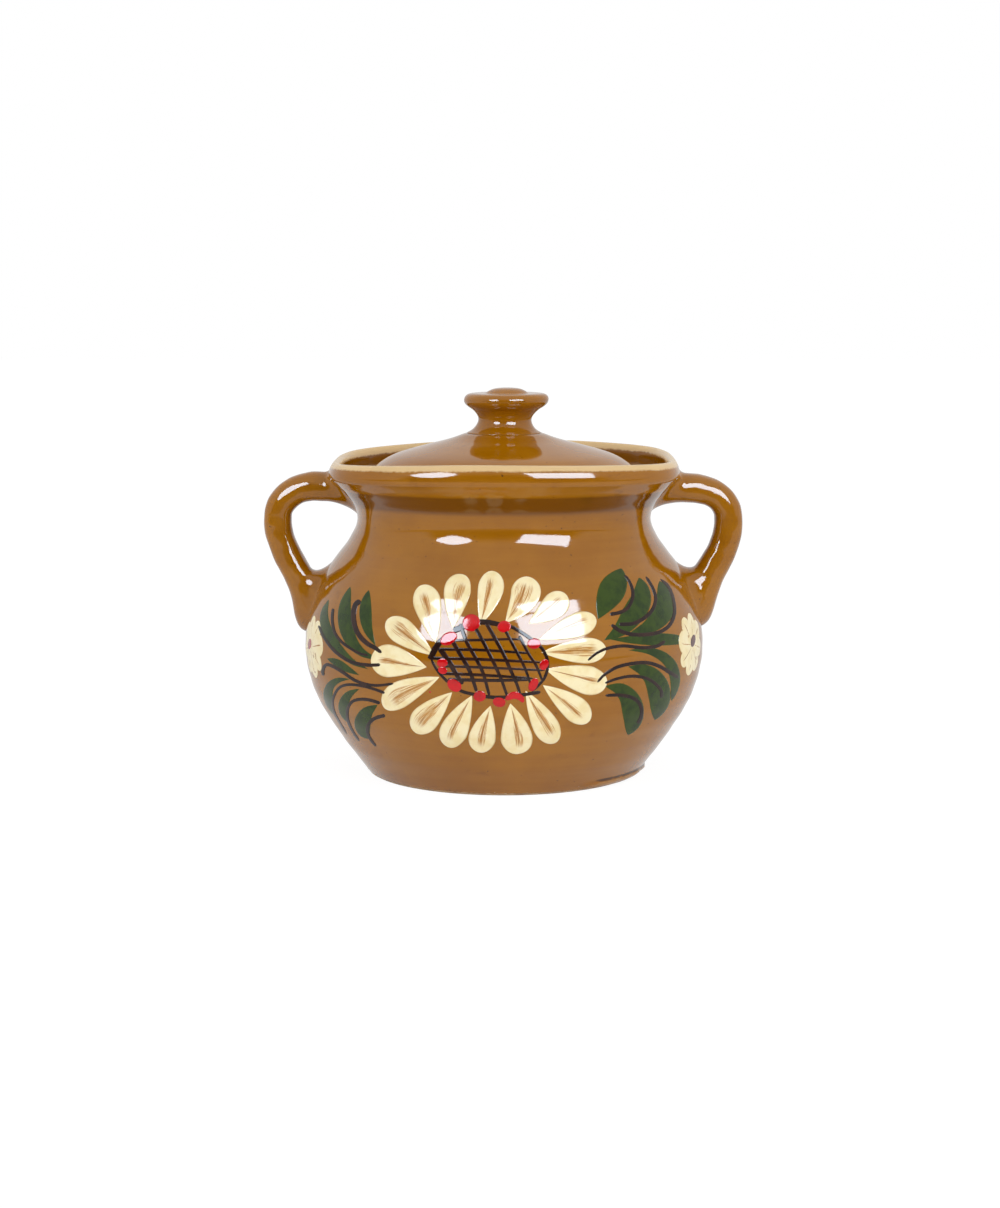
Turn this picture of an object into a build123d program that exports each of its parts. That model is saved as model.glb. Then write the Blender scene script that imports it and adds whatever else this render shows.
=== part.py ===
from build123d import *
import os
from math import cos, pi, sin, sqrt

# A glazed earthenware stewpot: a round belly, a squared collar with a lid set down inside it,
# and two pulled handles. Millimetres, +Z up, the handles along X, the origin in the middle of
# the base.

# Pot body, from the base up
base_radius = 77.5
base_edge_chamfer = 2.0
belly_radius = 112.6
belly_rise = 74.0
neck_radius = 82.1
neck_rise = 68.0
flare_spread = 10.9
flare_rise = 21.3
chamfer_spread = 4.3
chamfer_rise = 6.7
collar_rise = 6.6
lip_draw = 2.9
lip_rise = 3.6
wall = 7.0
floor_thickness = 8.0
collar_wall = 7.2

# Conical seat inside the flare, where the lid rests
bore_rise = 9.5
bore_flare = 2.0
seat_width = 5.6
seat_rise = 4.9
seat_lip = 0.6
mouth_rise = 9.1
seat_clearance = 0.3

# Lid
lid_side_gap = 1.2
lid_edge_rise = 3.1
lid_edge_round = 2.4
lid_rise = 29.8
lid_wall = 6.0

# Knob on the lid
knob_foot_radius = 20.6
stem_radius = 14.8
stem_rise = 6.9
flange_radius = 23.7
flange_rise = 11.0
flange_edge_round = 3.5
button_radius = 11.0
button_rise = 3.3

# Handles
handle_stand = 22.4
handle_thickness = 15.4
handle_breadth = 18.4
handle_root_rise = 7.0
handle_crown_drop = 2.9

# Belly outline: share of the way from base to belly radius, at share of the belly's rise
lower_belly_shares = [(0.3675, 0.25), (0.712, 0.5), (0.929, 0.75)]

# Shoulder outline: share of the way in from belly to neck, at share of the neck's rise
shoulder_shares = [(0.085, 0.25), (0.26, 0.45), (0.4656, 0.6206)]

# Neck outline above the shoulder in the same shares, then the flare outline: share of the way
# out from the neck to the crease, at share of the flare's rise
neck_shares = [(0.5967, 0.704), (0.7475, 0.787), (0.885, 0.871), (0.974, 0.941)]
flare_shares = [(0.12, 0.33), (0.47, 0.67)]

# Squareness of a level (2 is round), and of each level from the shoulder up to past the crease
round_squareness_share = 2.0
neck_squareness_shares = [2.02, 2.06, 2.14, 2.24, 2.34, 2.5, 2.66, 2.8, 2.9]
collar_squareness_share = 2.95
side_point_count = 9

# Handle route, from inside the collar out and down into the belly. Each row is the share of
# the way out from the belly to the bow's centreline, the share of the way up from root to
# crown, and the shares of the full thickness and breadth.
handle_route_shares = [
    (-2.3, 0.99, 1.4, 1.55),
    (-1.62, 1.0, 1.3, 1.46),
    (-0.98, 1.005, 1.12, 1.22),
    (-0.32, 1.0, 1.0, 1.04),
    (0.42, 0.952, 1.0, 1.0),
    (0.88, 0.845, 1.0, 1.0),
    (1.0, 0.735, 1.0, 1.0),
    (0.86, 0.60, 1.0, 1.0),
    (0.50, 0.452, 1.0, 1.0),
    (0.12, 0.32, 1.04, 1.05),
    (-0.12, 0.19, 1.12, 1.2),
    (-0.42, 0.07, 1.06, 1.3),
    (-0.92, 0.0, 0.86, 1.2),
]

# Lid outline: share of the way in from the edge to the knob's foot, at share of the lid's rise
lid_shares = [(0.042, 0.14), (0.153, 0.374), (0.23, 0.488), (0.445, 0.665), (0.684, 0.795), (0.87, 0.905)]

# Knob outline: from foot to stem in shares of both, then from stem to flange
knob_foot_shares = [(0.56, 0.20), (0.83, 0.56)]
knob_neck_shares = [(0.157, 0.255), (0.404, 0.51), (0.876, 0.764)]


def between(start, end, share):
    """The value that lies at a share of the way from start to end."""
    return start + (end - start) * share


def outline(first, last, shares):
    """Points at shares of the way from one (radius, height) corner to another."""
    return [(between(first[0], last[0], across), between(first[1], last[1], up)) for across, up in shares]


def above(point, spread, rise):
    """The outline corner that lies this far out and this far up from another."""
    return (point[0] + spread, point[1] + rise)


# Corners of the outside, each as (radius, height)
base_corner = (base_radius, 0)
belly_corner = (belly_radius, belly_rise)
neck_corner = (neck_radius, belly_rise + neck_rise)
crease_corner = above(neck_corner, flare_spread, flare_rise)
collar_foot = above(crease_corner, chamfer_spread, chamfer_rise)
collar_brow = above(collar_foot, 0, collar_rise)
crest_corner = above(collar_brow, -lip_draw, lip_rise)
lower_belly = outline(base_corner, belly_corner, lower_belly_shares)
shoulder = outline(belly_corner, neck_corner, shoulder_shares)
neck = outline(belly_corner, neck_corner, neck_shares)
flare = outline(neck_corner, crease_corner, flare_shares)

# Corners of the bore and the seat inside it
bore_foot = above(neck_corner, -wall, 0)
bore_top = above(bore_foot, 0, bore_rise)
seat_foot = above(bore_top, bore_flare, bore_flare)
seat_top = above(seat_foot, seat_width, seat_rise)
mouth_foot = (collar_foot[0] - collar_wall, seat_top[1] + mouth_rise)

# Corners of the lid and its knob
lid_edge = above(seat_top, -lid_side_gap, lid_edge_rise)
knob_foot = (knob_foot_radius, lid_edge[1] + lid_rise)
stem_waist = (stem_radius, knob_foot[1] + stem_rise)
flange_edge = (flange_radius, stem_waist[1] + flange_rise)
flange_top = above(flange_edge, -flange_edge_round, flange_edge_round)
button_foot = (button_radius, flange_top[1])
knob_top = (0, flange_top[1] + button_rise)


def upright(points):
    """Outline corners (radius, height) as points of the XZ plane."""
    return [(radius, 0, height) for radius, height in points]


def turned(edges):
    """A closed half outline, turned round the pot's axis."""
    return revolve(make_face(edges), Axis.Z)


def squared_face(level, squareness):
    """A level face between a circle and a square: four like sides that meet on the diagonals."""
    half_width, height = level
    side = []
    for step in range(side_point_count):
        angle = pi / 4 * (2 * step / (side_point_count - 1) - 1)
        spread = (abs(cos(angle)) ** squareness + abs(sin(angle)) ** squareness) ** (1 / squareness)
        side.append((half_width * cos(angle) / spread, half_width * sin(angle) / spread, height))
    edge = Spline(*side, tangents=[(1, 1, 0), (-1, 1, 0)])
    return make_face([edge.rotate(Axis.Z, 90 * turn) for turn in range(4)])


def outer_solid():
    """The pot as one solid block: a round belly that grows into a squared neck and collar.

    The smooth wall runs on past both its ends and is cut level, where the base's chamfer and
    the collar's straight faces take over.
    """
    below = tuple(2 * base - first for base, first in zip(base_corner, lower_belly[0]))
    beyond = tuple(2 * crease - before for crease, before in zip(crease_corner, flare[-1]))
    round_levels = [below, base_corner, *lower_belly, belly_corner, *shoulder]
    squared_levels = [*neck, neck_corner, *flare, crease_corner, beyond]
    sections = [squared_face(level, round_squareness_share) for level in round_levels]
    sections += [squared_face(*pair) for pair in zip(squared_levels, neck_squareness_shares)]
    foot, head = base_edge_chamfer, crease_corner[1]
    slab_width = 4 * belly_radius
    slab = Pos(0, 0, (foot + head) / 2) * Box(slab_width, slab_width, head - foot)
    trunk = loft(sections) & slab
    levels = trunk.faces().sort_by(Axis.Z)
    base = squared_face(above(base_corner, -base_edge_chamfer, 0), round_squareness_share)
    rim = [squared_face(level, collar_squareness_share) for level in (collar_foot, collar_brow, crest_corner)]
    return loft([base, levels[0]], ruled=True) + trunk + loft([levels[-1], *rim], ruled=True)


def inset(points, depth):
    """The outline's inner points, moved square to it, towards the axis side, by the wall's depth."""
    moved = []
    for before, point, after in zip(points, points[1:], points[2:]):
        run, rise = after[0] - before[0], after[1] - before[1]
        length = sqrt(run * run + rise * rise)
        moved.append(above(point, -depth * rise / length, depth * run / length))
    return moved


def cavity_solid():
    """The space inside: belly, neck bore, the lid's conical seat and the squared mouth."""
    inside = inset([base_corner, *lower_belly, belly_corner, *shoulder, *neck[:2], neck_corner], wall)
    floor_corner = (base_radius - wall, floor_thickness)
    floor_line = Line(*upright([(0, floor_thickness), floor_corner]))
    side = Spline(*upright([floor_corner, *inside, bore_foot]))
    axis_line = [(0, seat_top[1]), (0, floor_thickness)]
    throat = Polyline(*upright([bore_foot, bore_top, seat_foot, seat_top, *axis_line]))
    mouth = [squared_face(above(seat_top, seat_lip, 0), round_squareness_share)]
    mouth += [
        squared_face((mouth_foot[0], height), collar_squareness_share)
        for height in (mouth_foot[1], crest_corner[1])
    ]
    return turned([floor_line, side, throat]) + loft(mouth, ruled=True)


def handle_strap():
    """The handle on the +X side: a bowed strap whose roots swell and run into the pot."""
    bow = belly_radius + handle_stand - handle_thickness / 2
    root = belly_rise + handle_root_rise
    crown = crease_corner[1] - handle_crown_drop
    route = [(between(belly_radius, bow, out), 0, between(root, crown, up)) for out, up, _, _ in handle_route_shares]
    sections = []
    for index, (_, _, thick, broad) in enumerate(handle_route_shares):
        before = route[max(index - 1, 0)]
        after = route[min(index + 1, len(route) - 1)]
        along = tuple(end - start for start, end in zip(before, after))
        across = Plane(origin=route[index], x_dir=(0, 1, 0), z_dir=along)
        sections.append(across * Ellipse(handle_breadth * broad / 2, handle_thickness * thick / 2))
    return loft(sections)


def lid_cover_solid():
    """The hollow domed lid, with a thick rounded edge that sits just clear of its seat."""
    slope = seat_width / seat_rise
    clear = seat_clearance * sqrt(1 + slope * slope)
    foot_radius = lid_edge[0] - lid_edge_round
    foot = (foot_radius, seat_foot[1] + clear + (foot_radius - seat_foot[0]) / slope)
    inner_foot = (lid_edge[0] - lid_wall, foot[1])
    top_points = [lid_edge, *outline(lid_edge, knob_foot, lid_shares), knob_foot]
    ceiling = (0, knob_foot[1] - lid_wall)
    top = Spline(*upright(top_points))
    middle = Polyline(*upright([knob_foot, (0, knob_foot[1]), ceiling]))
    under = Spline(*upright([ceiling, *reversed(inset(top_points, lid_wall)[1:]), inner_foot]))
    foot_line = Line(*upright([inner_foot, foot]))
    bulge = (between(foot[0], lid_edge[0], sin(pi / 4)), between(lid_edge[1], foot[1], sin(pi / 4)))
    edge_round = ThreePointArc(*upright([foot, bulge, lid_edge]))
    return turned([top, middle, under, foot_line, edge_round])


def lid_knob_solid():
    """The turned knob: a waisted stem, a wide flange and a small button on top."""
    foot_points = outline(knob_foot, stem_waist, knob_foot_shares)
    neck_points = outline(stem_waist, flange_edge, knob_neck_shares)
    side_points = [knob_foot, *foot_points, stem_waist, *neck_points, flange_edge]
    side = Spline(*upright(side_points), tangents=[(-1, 0, 1), (0, 0, 1)])
    rolled = Spline(*upright([flange_edge, flange_top]), tangents=[(0, 0, 1), (-1, 0, 0)])
    shelf = Line(*upright([flange_top, button_foot]))
    dome = Spline(*upright([button_foot, knob_top]), tangents=[(0, 0, 1), (-1, 0, 0)])
    middle = Polyline(*upright([knob_top, (0, knob_foot[1]), knob_foot]))
    return turned([side, rolled, shelf, dome, middle])


outside = outer_solid()
strap = handle_strap()
parts = {
    "pot_body": outside - cavity_solid(),
    "right_handle": strap - outside,
    "left_handle": mirror(strap, Plane.YZ) - outside,
    "lid_cover": lid_cover_solid(),
    "lid_knob": lid_knob_solid(),
}

os.makedirs("parts", exist_ok=True)
for name, shape in parts.items():
    export_step(shape, "parts/" + name + ".step")
    size = shape.bounding_box().size
    print(name, round(shape.volume), round(size.X, 1), round(size.Y, 1), round(size.Z, 1))
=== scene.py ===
from math import cos, pi, radians, sin, sqrt

import bpy
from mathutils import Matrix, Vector, noise
from mathutils.bvhtree import BVHTree
from mathutils.geometry import interpolate_bezier


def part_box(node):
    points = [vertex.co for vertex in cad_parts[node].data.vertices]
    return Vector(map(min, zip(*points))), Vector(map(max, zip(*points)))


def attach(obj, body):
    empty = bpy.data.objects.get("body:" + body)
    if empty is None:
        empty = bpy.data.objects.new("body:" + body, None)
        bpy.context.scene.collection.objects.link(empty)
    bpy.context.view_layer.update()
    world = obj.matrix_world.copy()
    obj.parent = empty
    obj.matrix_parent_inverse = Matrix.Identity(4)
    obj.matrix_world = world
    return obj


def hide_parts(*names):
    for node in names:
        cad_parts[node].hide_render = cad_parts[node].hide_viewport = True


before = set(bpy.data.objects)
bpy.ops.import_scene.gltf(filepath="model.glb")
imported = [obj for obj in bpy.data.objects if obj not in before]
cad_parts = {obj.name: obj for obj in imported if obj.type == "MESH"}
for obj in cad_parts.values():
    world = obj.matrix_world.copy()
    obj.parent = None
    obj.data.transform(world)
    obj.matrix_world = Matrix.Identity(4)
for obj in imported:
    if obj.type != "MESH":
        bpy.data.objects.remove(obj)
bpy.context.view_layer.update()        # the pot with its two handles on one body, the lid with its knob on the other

potLow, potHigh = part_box("pot_body")
potRise = 180.2                       # millimetres from the table to the rim
mm = (potHigh.z - potLow.z) / potRise  # one millimetre of this pot, as the frame has it


# Small helpers for colours, nodes and meshes

def tint(red, green, blue):
    # a given 0-255 colour as the linear colour that shaders take
    parts = [value / 255 for value in (red, green, blue)]
    return (*[part / 12.92 if part < 0.04045 else ((part + 0.055) / 1.055) ** 2.4 for part in parts], 1)


def addNode(tree, kind, **settings):
    node = tree.nodes.new(kind)
    for name, value in settings.items():
        setattr(node, name, value)
    return node


def put(tree, socket, value):
    # a socket takes another node's output or a plain value
    if isinstance(value, bpy.types.NodeSocket):
        tree.links.new(value, socket)
    elif value is not None:
        socket.default_value = value


def fill(tree, node, **values):
    for name, value in values.items():
        put(tree, node.inputs[name], value)
    return node


def calc(tree, operation, *values):
    node = addNode(tree, "ShaderNodeMath", operation=operation)
    for socket, value in zip(node.inputs, values):
        put(tree, socket, value)
    return node.outputs[0]


def times(tree, first, second):
    return calc(tree, "MULTIPLY", first, second)


def plus(tree, first, second):
    return calc(tree, "ADD", first, second)


def minus(tree, first, second):
    return calc(tree, "SUBTRACT", first, second)


def calcVector(tree, operation, first, second=None, scale=None):
    node = addNode(tree, "ShaderNodeVectorMath", operation=operation)
    put(tree, node.inputs[0], first)
    if operation == "SCALE":
        put(tree, node.inputs["Scale"], scale)
    else:
        put(tree, node.inputs[1], second)
    return node.outputs["Vector"]


def split(tree, place):
    # a place's three sockets, by the names X, Y and Z
    node = addNode(tree, "ShaderNodeSeparateXYZ")
    put(tree, node.inputs[0], place)
    return node.outputs


def join(tree, *values):
    node = addNode(tree, "ShaderNodeCombineXYZ")
    for socket, value in zip(node.inputs, values):
        put(tree, socket, value)
    return node.outputs[0]


def ramp(tree, value, low, high, toLow=0.0, toHigh=1.0):
    # a value eased from one range into another
    node = addNode(tree, "ShaderNodeMapRange", interpolation_type="SMOOTHSTEP")
    for socket, given in zip(node.inputs, (value, low, high, toLow, toHigh)):
        put(tree, socket, given)
    return node.outputs["Result"]


def blendColours(tree, share, first, second):
    node = addNode(tree, "ShaderNodeMix", data_type="RGBA")
    put(tree, node.inputs[0], share)
    put(tree, node.inputs[6], first)
    put(tree, node.inputs[7], second)
    return node.outputs[2]


def noiseOf(tree, place, scale, detail=2.0, rough=0.5):
    node = addNode(tree, "ShaderNodeTexNoise")
    put(tree, node.inputs["Vector"], place)
    for name, value in (("Scale", scale), ("Detail", detail), ("Roughness", rough)):
        node.inputs[name].default_value = value
    return node.outputs["Fac"]


socketKinds = {"object": "NodeSocketObject", "vector": "NodeSocketVector", "material": "NodeSocketMaterial",
               "number": "NodeSocketFloat", "count": "NodeSocketInt"}


def startTree(name, **inputs):
    # a Geometry Nodes tree with a geometry in and out, and the named inputs
    tree = bpy.data.node_groups.new(name, "GeometryNodeTree")
    tree.interface.new_socket("Geometry", in_out="INPUT", socket_type="NodeSocketGeometry")
    tree.interface.new_socket("Geometry", in_out="OUTPUT", socket_type="NodeSocketGeometry")
    for label, kind in inputs.items():
        tree.interface.new_socket(label, in_out="INPUT", socket_type=socketKinds[kind])
    return tree, addNode(tree, "NodeGroupInput").outputs


def endTree(tree, geometry, material):
    # every tree ends alike: real geometry with its material on, shaded smooth
    smooth = fill(tree, addNode(tree, "GeometryNodeSetShadeSmooth"), Geometry=geometry)
    real = fill(tree, addNode(tree, "GeometryNodeRealizeInstances"), Geometry=smooth.outputs[0])
    coated = addNode(tree, "GeometryNodeSetMaterial")
    fill(tree, coated, Geometry=real.outputs[0], Material=material)
    tree.links.new(coated.outputs[0], addNode(tree, "NodeGroupOutput").inputs[0])


def positionOf(tree):
    return addNode(tree, "GeometryNodeInputPosition").outputs[0]


def geometryOf(tree, item):
    return fill(tree, addNode(tree, "GeometryNodeObjectInfo"), Object=item).outputs["Geometry"]


def keepValue(tree, geometry, name, value, kind="FLOAT"):
    node = addNode(tree, "GeometryNodeStoreNamedAttribute", data_type=kind)
    fill(tree, node, Geometry=geometry, Name=name, Value=value)
    return node.outputs[0]


def readValue(tree, name, kind="FLOAT"):
    node = addNode(tree, "GeometryNodeInputNamedAttribute", data_type=kind)
    node.inputs["Name"].default_value = name
    return node.outputs["Attribute"]


def newObject(name, data):
    made = bpy.data.objects.new(name, data)
    bpy.context.collection.objects.link(made)
    return made


def growPiece(name, tree, host, **values):
    # runs the tree on the host, and gives back its result as a plain mesh object
    modifier = host.modifiers.new(name, "NODES")
    modifier.node_group = tree
    for item in tree.interface.items_tree:
        if item.in_out == "INPUT" and item.name in values:
            modifier[item.identifier] = values[item.name]
    mesh = bpy.data.meshes.new_from_object(host.evaluated_get(bpy.context.evaluated_depsgraph_get()))
    host.modifiers.remove(modifier)
    bpy.data.objects.remove(host)
    return newObject(name, mesh)


def emptyHost():
    return newObject("host", bpy.data.meshes.new("host"))


def seat(piece, body, slotName, *nodes):
    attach(piece, body)
    if nodes:
        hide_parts(*nodes)
    print("made", piece.name, len(piece.data.polygons), "faces")


# Outlines

def smoothLine(points, step):
    # an even walk, about one step apart, along a curve through an outline's points
    spots = [Vector((*point, 0)) if len(point) == 2 else Vector(point) for point in points]
    leans = []
    for index, spot in enumerate(spots):
        before, after = spots[max(index - 1, 0)], spots[min(index + 1, len(spots) - 1)]
        leans.append((after - before) / ((after - spot).length + (spot - before).length))
    walk = [spots[0]]
    for start, end, leave, arrive in zip(spots, spots[1:], leans, leans[1:]):
        reach = (end - start).length
        count = max(2, round(reach / step) + 1)
        startPull, endPull = start + leave * reach / 3, end - arrive * reach / 3
        walk += interpolate_bezier(start, startPull, endPull, end, count)[1:]
    return walk


def levelValue(height, rows):
    # a value that changes evenly between the heights where it is given
    if height <= rows[0][0]:
        return rows[0][1]
    for (low, first), (high, second) in zip(rows, rows[1:]):
        if height <= high:
            return first + (second - first) * (height - low) / (high - low)
    return rows[-1][1]


# Turned pieces: an outline swept round the pot's axis, round or squared by level

turning = {
    "ringPitch": 10.5, "ringHeight": 0.075,     # throwing rings left by the fingers, mm
    "wobble": 0.16, "wobbleSize": 34.0,         # slow unevenness of hand-thrown clay, mm
    "wobbleTall": 8.0,                          # how much faster it changes upwards
    "sideDrop": 3.3, "leftDrop": 1.0,           # how far the rim sags over the handles, mm
    "cornerDrop": 0.9, "cornerAngle": -46.0, "cornerSpread": (0.5, 1.0),     # and at the near right corner
    "burrAngle": -30.0, "burrHeight": 1.9,      # the ledge of clay left on the base's right front edge
    "burrSpread": (0.87, 0.95), "burrGrain": (9.0, 3.0, 0.6), "burrRough": (0.25, 0.6, 0.45, 1.0),
    "frontReach": (0.4, 0.91), "frontSquare": 0.35,     # squared levels are rounder at the front and back
    "leanFoot": 191.0,                          # a lean starts at this height, mm
    "weld": 0.004,                              # mm within which the seam's points join
}


def turnedTree():
    tree, given = startTree("turned clay", Rounds="count", Lean="number", Clay="material")
    size = addNode(tree, "GeometryNodeAttributeDomainSize")
    tree.links.new(given["Geometry"], size.inputs[0])
    rows = size.outputs["Point Count"]
    around = plus(tree, given["Rounds"], 1)
    grid = addNode(tree, "GeometryNodeMeshGrid")
    for socket, value in zip(grid.inputs, (1.0, 1.0, around, rows)):
        put(tree, socket, value)
    place = split(tree, positionOf(tree))
    turn = times(tree, plus(tree, place["X"], 0.5), 2 * pi)
    lastRow = minus(tree, rows, 1)
    row = calc(tree, "ROUND", times(tree, plus(tree, place["Y"], 0.5), lastRow))

    def sampled(value, kind="FLOAT"):
        node = addNode(tree, "GeometryNodeSampleIndex", data_type=kind)
        fill(tree, node, Geometry=given["Geometry"], Index=row)
        tree.links.new(value, node.inputs["Value"])
        return node.outputs[0]

    outlinePlace = split(tree, sampled(positionOf(tree), "FLOAT_VECTOR"))
    square, soft, sag, burr = [sampled(readValue(tree, name)) for name in ("square", "soft", "sag", "burr")]
    across, inward = calc(tree, "COSINE", turn), calc(tree, "SINE", turn)
    # the squared levels stay rounder at the front and the back
    frontness = calc(tree, "ABSOLUTE", inward)
    rounder = ramp(tree, frontness, *turning["frontReach"], 1.0, turning["frontSquare"])
    square = plus(tree, times(tree, minus(tree, square, 2.0), rounder), 2.0)
    powers = [calc(tree, "POWER", calc(tree, "ABSOLUTE", side), square) for side in (across, inward)]
    spread = calc(tree, "POWER", plus(tree, *powers), calc(tree, "DIVIDE", 1.0, square))
    width, height = outlinePlace["X"], outlinePlace["Y"]

    # throwing rings, climbing one pitch a turn, and slow unevenness
    climb = times(tree, height, 2 * pi / (turning["ringPitch"] * mm))
    ringWave = calc(tree, "SINE", plus(tree, climb, turn))
    rings = times(tree, ringWave, turning["ringHeight"] * mm)
    wrapped = join(tree, across, inward, times(tree, height, turning["wobbleTall"]))
    slow = noiseOf(tree, wrapped, 100.0 / turning["wobbleSize"], 1.0)
    uneven = times(tree, minus(tree, slow, 0.5), 2 * turning["wobble"] * mm)
    moved = times(tree, plus(tree, rings, uneven), soft)

    # the burr stands out over a short arc of the base's edge
    away = calc(tree, "COSINE", minus(tree, turn, radians(turning["burrAngle"])))
    crumbly = noiseOf(tree, wrapped, *turning["burrGrain"])
    arc = ramp(tree, away, *turning["burrSpread"])
    burrShape = times(tree, arc, ramp(tree, crumbly, *turning["burrRough"]))
    burrRise = times(tree, burr, turning["burrHeight"] * mm)
    moved = plus(tree, moved, times(tree, burrShape, burrRise))
    radius = plus(tree, calc(tree, "DIVIDE", width, spread), moved)

    # the rim sags over the handles and at one corner
    sides = times(tree, calc(tree, "POWER", across, 2.0), turning["sideDrop"])
    sides = minus(tree, sides, times(tree, across, turning["leftDrop"]))
    near = calc(tree, "COSINE", minus(tree, turn, radians(turning["cornerAngle"])))
    near = times(tree, ramp(tree, near, *turning["cornerSpread"]), turning["cornerDrop"])
    drop = times(tree, times(tree, plus(tree, sides, near), sag), mm)
    lean = times(tree, minus(tree, height, turning["leanFoot"] * mm), given["Lean"])
    leant = plus(tree, times(tree, radius, across), lean)
    spot = join(tree, leant, times(tree, radius, inward), minus(tree, height, drop))

    # what the glaze's material reads
    glazeValues = {name: sampled(readValue(tree, name)) for name in ("worn", "bare", "pooled")}
    # the crease above the burr gets painted shade
    glazeValues["crease"] = times(tree, burrShape, sampled(readValue(tree, "crease")))
    glazeValues["ledge"] = times(tree, burrShape, burr)
    geometry = grid.outputs[0]
    for name, value in glazeValues.items():
        geometry = keepValue(tree, geometry, name, value)
    shaped = fill(tree, addNode(tree, "GeometryNodeSetPosition"), Geometry=geometry, Position=spot)
    closed = addNode(tree, "GeometryNodeMergeByDistance")
    fill(tree, closed, Geometry=shaped.outputs[0], Distance=turning["weld"] * mm)
    endTree(tree, closed.outputs[0], given["Clay"])
    return tree


def outlineHost(walk, **fields):
    # the outline as a line of points that carry each field's value
    mesh = bpy.data.meshes.new("outline")
    edges = [(index, index + 1) for index in range(len(walk) - 1)]
    mesh.from_pydata([(point.x * mm, point.y * mm, 0) for point in walk], edges, [])
    for name, values in fields.items():
        layer = mesh.attributes.new(name, "FLOAT", "POINT")
        for entry, value in zip(layer.data, values):
            entry.value = value
    return newObject("outline", mesh)


# Outline points are (radius, height) in millimetres, at the middle of each side
potShape = {
    "underside": [(0, 1.0), (30, 0.9), (56, 0.5), (66, 0.1), (71, 0.0), (75.4, 0.1)],
    "outside": [
        (76.9, 0.9), (78.0, 2.3), (82.9, 8.9), (89.9, 18.2), (96.1, 27.4), (101.9, 36.6), (106.6, 46),
        (110.0, 56.5), (111.75, 66), (112.0, 75), (111.0, 85.5), (108.3, 95), (104.2, 105),
        (98.2, 116.3), (91.9, 124.8), (87.5, 130.7), (84.55, 136.0), (83.15, 138.9), (82.25, 142.2),
        (82.05, 144.4), (82.4, 147.6), (83.5, 151.1), (85.4, 154.6), (88.4, 158.6), (91.7, 162.8),
    ],
    "collar": [
        (92.3, 163.5), (94.3, 166.2), (96.3, 168.9), (97.0, 169.8), (97.3, 170.9), (97.3, 173.4),
        (97.1, 175.2), (96.5, 177.1), (95.6, 178.7), (94.4, 179.9), (93.1, 180.4), (91.8, 179.9),
        (90.8, 178.3), (90.35, 175.9), (90.2, 173.0), (90.15, 169.6),
    ],
    "mouth": [
        (89.4, 167.0), (86.2, 162.9), (83.2, 159.2), (82.3, 158.0), (79.9, 155.9), (77.6, 153.9),
        (75.8, 152.3), (75.1, 150.4),
    ],
    "inside": [
        (75.1, 142.5), (76.6, 136.6), (80.3, 130.8), (85.0, 125.2), (91.0, 117.2), (97.4, 105.2),
        (101.3, 95.4), (104.0, 85.5), (105.1, 75), (104.6, 64.5), (102.6, 54), (99.2, 44), (94.6, 34.5),
        (88.8, 25.5), (82.4, 17.6), (75.4, 11.2), (69.5, 8.8), (62, 8.1), (40, 8.0), (0, 8.0),
    ],
    "step": 1.45, "rounds": 256,
    "squareOutside": [
        (105, 2.0), (121, 2.03), (128, 2.07), (133, 2.15), (138, 2.25), (142, 2.35), (149, 2.5),
        (156, 2.66), (163, 2.82), (170, 2.95),
    ],
    "squareInside": [(158.4, 2.0), (167.5, 2.95)],
    "crest": (93.1, 180.4), "wornReach": 8.4,
    # how much of each effect there is, by height
    "unevenBy": [(4, 0), (14, 1), (128, 1), (136, 0.45), (170, 0.35)], "unevenFrom": 60,
    "seatFreeBy": [(144, 1), (151, 0), (162, 0), (170, 1)],
    "sagBy": [(161, 0), (166, 0.25), (172, 0.8), (177, 1)],
    "ledgeBy": [(0.4, 0), (1.6, 1), (3.4, 1), (5.6, 0)], "ledgeFrom": [(74, 0), (76, 1)],
    # painted shade in the crease just above the ledge of clay at the base
    "creaseShadeBy": [(3.6, 0), (5.4, 1), (6.6, 0)],
    # painted shade: darker under the collar and inside the pot, where shade and dark reflections fall
    "paintedShadeOutside": [(150.5, 0), (154.5, 1), (161.5, 1), (163.5, 0)],
    "paintedShadeInside": [(176, 0.62), (180, 0)],
    "bareBy": [(0.6, 1), (2.4, 0)],
    # the wall that the painting is laid on, more finely stepped
    "bellyFrom": 12, "bellyTo": 138, "bellyStep": 0.7, "bellyRounds": 1152,
}


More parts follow.
